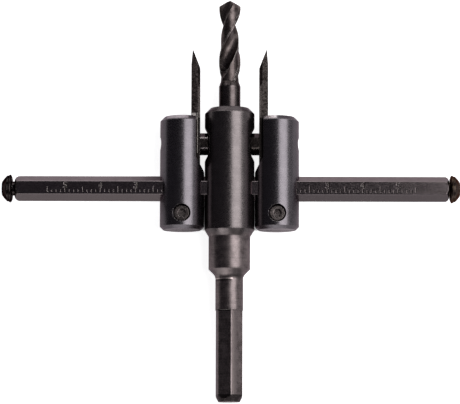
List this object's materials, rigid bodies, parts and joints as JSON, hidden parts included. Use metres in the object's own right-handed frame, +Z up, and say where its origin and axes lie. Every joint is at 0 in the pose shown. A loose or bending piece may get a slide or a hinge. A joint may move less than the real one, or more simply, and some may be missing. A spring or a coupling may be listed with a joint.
{
  "type": "adjustable circle cutter",
  "caption": "Two-bladed adjustable circle cutter: hex-shank spindle with pilot drill, graduated hexagonal cross bar and clamping tool slides.",
  "frame": {"origin": "on the surface the tool lies on, under the spindle's axis, midway between the drill tip and the shank's end", "axes": "+X along the cross bar, +Y along the tool axis towards the drill tip, +Z up, away from the surface it lies on and towards the bar's graduated face"},
  "size_m": [0.1655, 0.1462, 0.018],
  "materials": {
    "spindle_steel": "black oxide over turned steel, satin",
    "bar_steel": "black oxide over drawn steel, satin",
    "slider_steel": "black oxide over turned steel, satin",
    "blade_steel": "blackened tool steel, ground edges",
    "drill_steel": "blackened high-speed steel, bright margins",
    "screw_steel": "black oxide screws"
  },
  "bodies": {
    "spindle": {"spindle_body": "spindle_steel", "hex_bar": "bar_steel", "left_stop_screw": "screw_steel", "right_stop_screw": "screw_steel", "drill_set_screw": "screw_steel", "bar_set_screw": "screw_steel"},
    "left_slider": {"left_slider": "slider_steel", "left_blade_bolt": "screw_steel", "left_clamp_screw": "screw_steel"},
    "right_slider": {"right_slider": "slider_steel", "right_blade_bolt": "screw_steel", "right_clamp_screw": "screw_steel"},
    "left_blade": {"left_blade": "blade_steel"},
    "right_blade": {"right_blade": "blade_steel"},
    "pilot_drill": {"pilot_drill": "drill_steel"}
  },
  "joints": [
    {"name": "left_slide", "type": "slide", "parent": "spindle", "child": "left_slider", "axis": [-1, 0, 0], "range_m": [0, 0.053]},
    {"name": "right_slide", "type": "slide", "parent": "spindle", "child": "right_slider", "axis": [1, 0, 0], "range_m": [0, 0.054]},
    {"name": "left_blade_reach", "type": "slide", "parent": "left_slider", "child": "left_blade", "axis": [0, 1, 0], "range_m": [-0.0018, 0.003]},
    {"name": "right_blade_reach", "type": "slide", "parent": "right_slider", "child": "right_blade", "axis": [0, 1, 0], "range_m": [-0.0018, 0.003]},
    {"name": "pilot_drill_reach", "type": "slide", "parent": "spindle", "child": "pilot_drill", "axis": [0, 1, 0], "range_m": [-0.0009, 0.01]}
  ]
}
